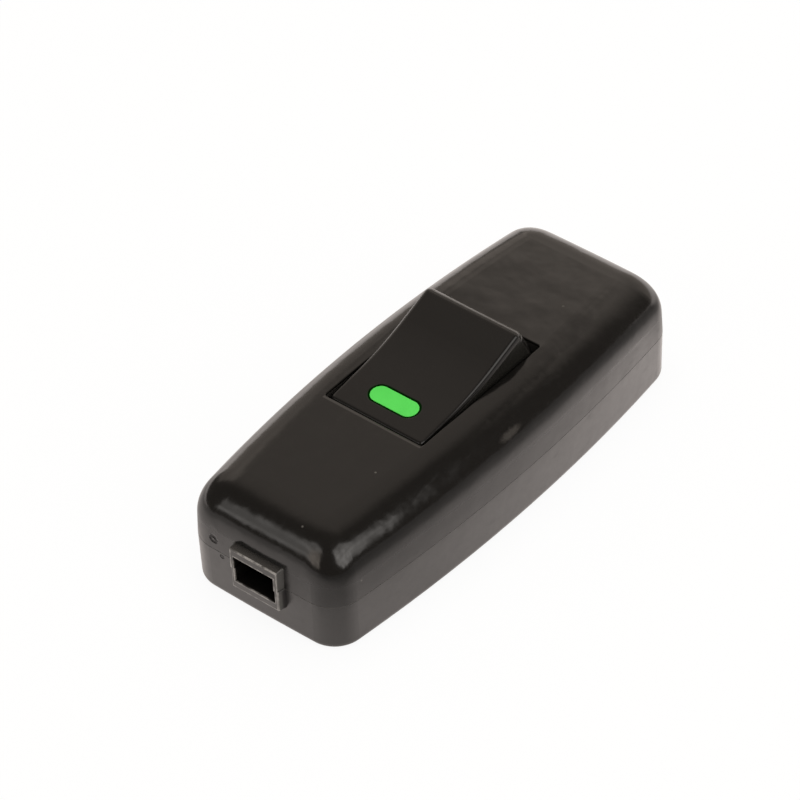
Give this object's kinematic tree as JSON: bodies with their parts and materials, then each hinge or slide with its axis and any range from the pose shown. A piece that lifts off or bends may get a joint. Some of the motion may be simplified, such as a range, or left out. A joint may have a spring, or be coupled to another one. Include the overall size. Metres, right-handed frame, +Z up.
{
  "type": "inline cord switch",
  "caption": "Inline rocker switch for a flat mains cord: two-shell boat-shaped black casing with a cord entry at each end and a tilting rocker with a green mark.",
  "frame": {"origin": "middle of the flat underside, on the surface that the switch lies on", "axes": "+X along the casing from the marked end of the rocker to the other end, +Y across it to the neutral side, +Z up out of the rocker"},
  "size_m": [0.0826, 0.0334, 0.0248],
  "materials": {
    "housing_black": "moulded gloss with faint ripple and specks",
    "rocker_black": "fine satin",
    "indicator_green": "bright smooth inlay",
    "plunger_nylon": "natural moulded",
    "spring_steel": "drawn wire",
    "contact_copper": "stamped copper alloy",
    "contact_silver": "silver alloy rivet",
    "terminal_brass": "stamped sheet",
    "plate_steel": "zinc plated",
    "screw_steel": "zinc plated",
    "clamp_black": "plain moulded"
  },
  "bodies": {
    "housing": {"top_cover": "housing_black", "base_shell": "housing_black", "case_screws": "screw_steel", "terminal_screws": "screw_steel", "clamp_screws": "screw_steel", "cord_clamp_near": "clamp_black", "cord_clamp_far": "clamp_black", "live_in_strip": "terminal_brass", "live_out_strip": "terminal_brass", "neutral_link": "terminal_brass", "live_plate_near": "plate_steel", "live_plate_far": "plate_steel", "neutral_plate_near": "plate_steel", "neutral_plate_far": "plate_steel", "bridge_support": "terminal_brass", "fixed_contact": "contact_silver"},
    "rocker": {"rocker": "rocker_black", "indicator_inlay": "indicator_green", "plunger_spring": "spring_steel"},
    "plunger": {"plunger": "plunger_nylon"},
    "contact_bridge": {"contact_bridge": "contact_copper", "moving_contact": "contact_silver"}
  },
  "joints": [
    {"name": "rocker_tilt", "type": "hinge", "parent": "housing", "child": "rocker", "pos_m": [0, 0, 0.0146], "axis": [0, 1, 0], "range_deg": [0, 27]},
    {"name": "plunger_slide", "type": "slide", "parent": "rocker", "child": "plunger", "axis": [-0.2334, 0, 0.9724], "range_m": [0, 0.0006], "stiffness_N_per_m": 400, "springref_m": -0.002, "deforming": ["plunger_spring"]},
    {"name": "bridge_tilt", "type": "hinge", "parent": "housing", "child": "contact_bridge", "pos_m": [0, 0, 0.007], "axis": [0, 1, 0], "range_deg": [-20, 0]}
  ],
  "couplings": [
    {"joint": "bridge_tilt", "follows": "rocker_tilt", "ratio": -0.7407}
  ]
}
